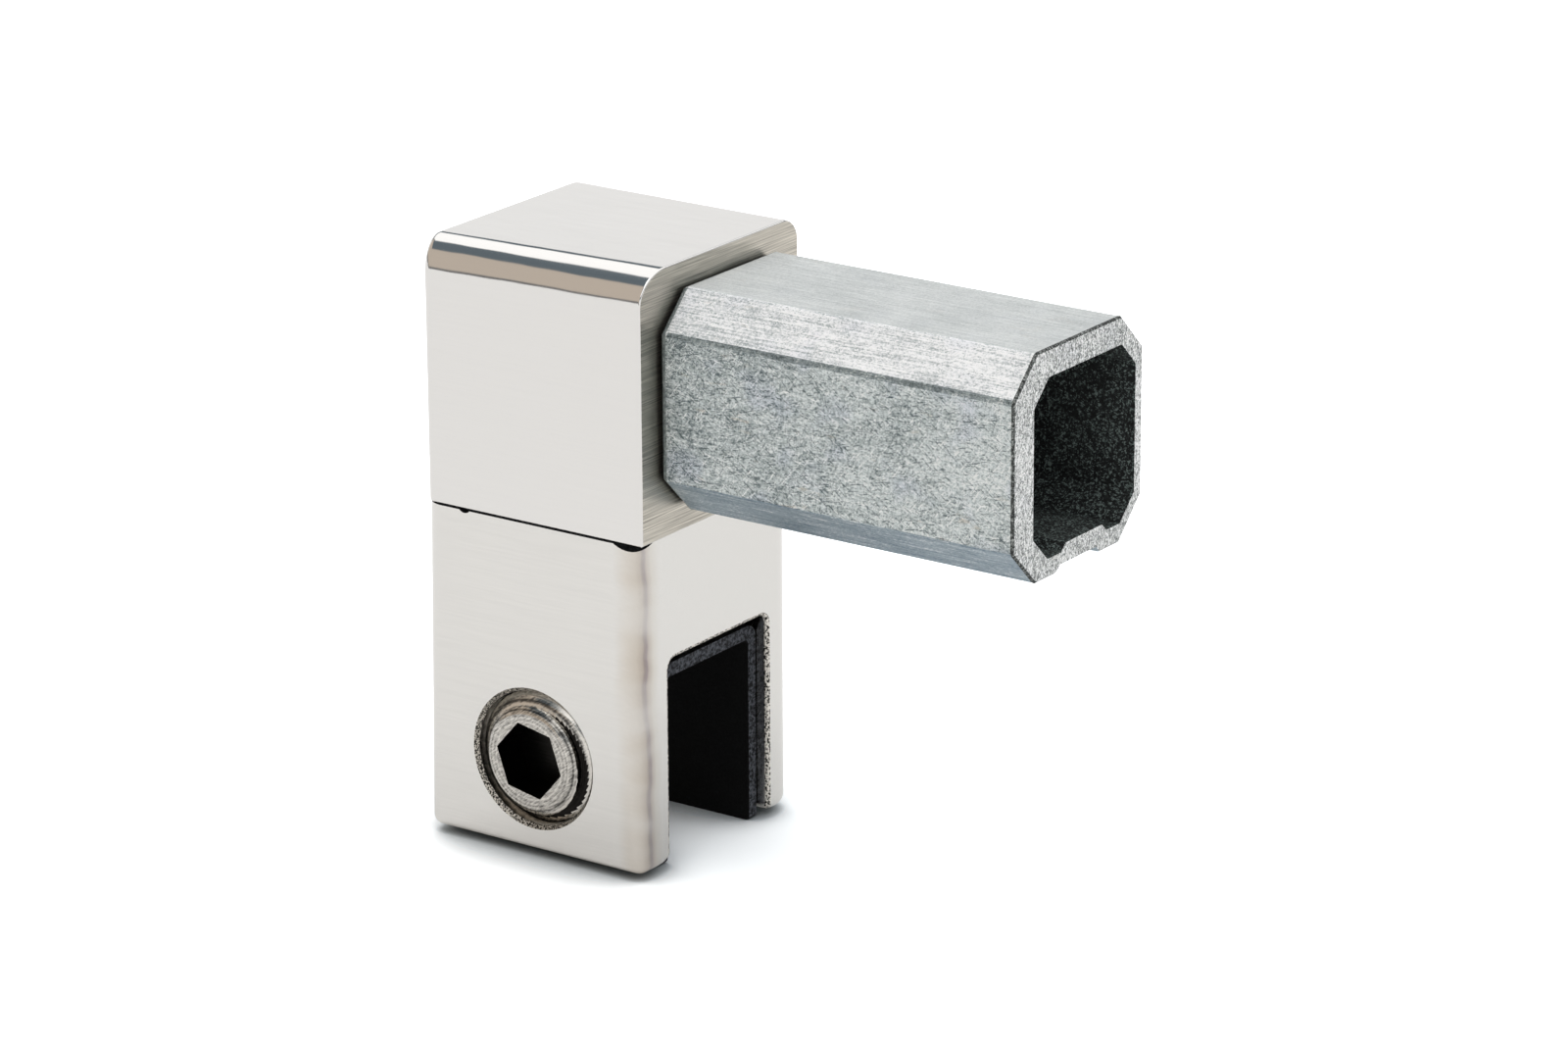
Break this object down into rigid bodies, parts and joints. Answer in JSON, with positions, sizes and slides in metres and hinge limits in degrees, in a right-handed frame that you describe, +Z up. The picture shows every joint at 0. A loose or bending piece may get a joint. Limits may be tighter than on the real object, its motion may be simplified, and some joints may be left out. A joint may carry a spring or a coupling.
{
  "type": "glass panel clamp",
  "caption": "Steel corner block with a hollow plug for a square support tube, over a rubber-lined fork that grips the edge of a glass panel with a set screw.",
  "frame": {"origin": "on the upright centre line of the square column, at the underside of the liner's web, where the edge of the glass seats", "axes": "+X along the tube plug, +Y to the back of the clamp, +Z up from the glass to the end block; the glass lies in the XZ plane"},
  "size_m": [0.0487, 0.0195, 0.0447],
  "materials": {
    "steel_block": "satin faces with a polished front rounding and a coarsely brushed plug face",
    "steel_body": "fine satin",
    "liner_rubber": "matt black, grainy where cut",
    "cast_zinc": "dull blue-grey as-cast zinc, scratched",
    "steel_fastener": "plain machined"
  },
  "bodies": {
    "clamp": {"end_block": "steel_block", "clamp_body": "steel_body", "rubber_liner": "liner_rubber", "tube_plug": "cast_zinc", "plug_screw": "steel_fastener", "spring_washer": "steel_fastener", "body_bolt": "steel_fastener"},
    "disc": {"pressure_disc": "steel_fastener"},
    "screw": {"set_screw": "steel_fastener"}
  },
  "joints": [
    {"name": "screw_advance", "type": "slide", "parent": "clamp", "child": "disc", "axis": [0, 1, 0], "range_m": [-0.0015, 0]},
    {"name": "screw_turn", "type": "hinge", "parent": "disc", "child": "screw", "pos_m": [-0.0004, -0.0085, -0.00645], "axis": [0, 1, 0], "range_deg": [-360, 0]}
  ],
  "couplings": [
    {"joint": "screw_advance", "follows": "screw_turn", "m_per_rad": 0.00023873}
  ]
}
